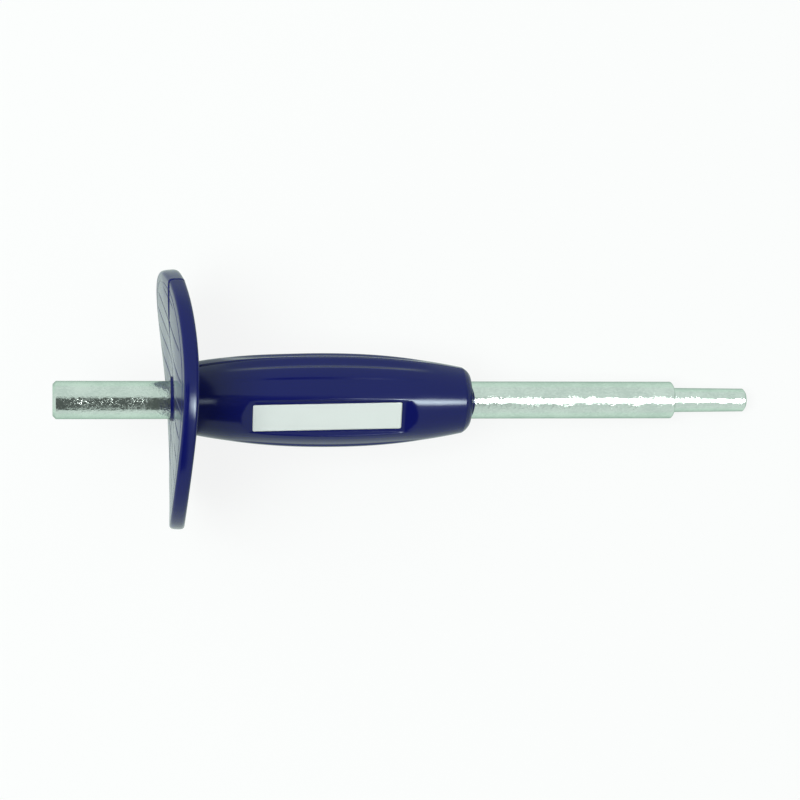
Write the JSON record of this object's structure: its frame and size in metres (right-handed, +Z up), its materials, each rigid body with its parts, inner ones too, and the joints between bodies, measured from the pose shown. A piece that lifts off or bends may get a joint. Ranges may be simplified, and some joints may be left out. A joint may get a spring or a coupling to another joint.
{
  "type": "anchor setting tool",
  "caption": "Hand tool for setting drop-in anchors: a plated steel bar with a stepped setting pin, held in a moulded barrel grip with a round hand shield.",
  "frame": {"origin": "on the floor under the middle of the tool as it lies, on the shield's rim and the tip of the pin", "axes": "+X along the tool towards the setting pin (the tool's axis dips 11.4 degrees below +X), +Z up, label facing up and a little towards -Y"},
  "size_m": [0.222, 0.0812, 0.0803],
  "materials": {
    "zinc_plate": "bright zinc plating on turned steel, lightly scuffed",
    "navy_plastic": "glossy moulded plastic",
    "label_paper": "matt white self-adhesive paper, bare"
  },
  "bodies": {
    "guard": {"hand_guard": "navy_plastic", "label": "label_paper"},
    "punch": {"punch_bar": "zinc_plate"}
  },
  "joints": [
    {"name": "punch_slide", "type": "slide", "parent": "guard", "child": "punch", "axis": [0.9802, 0, -0.1981], "range_m": [-0.066, 0.035]}
  ]
}
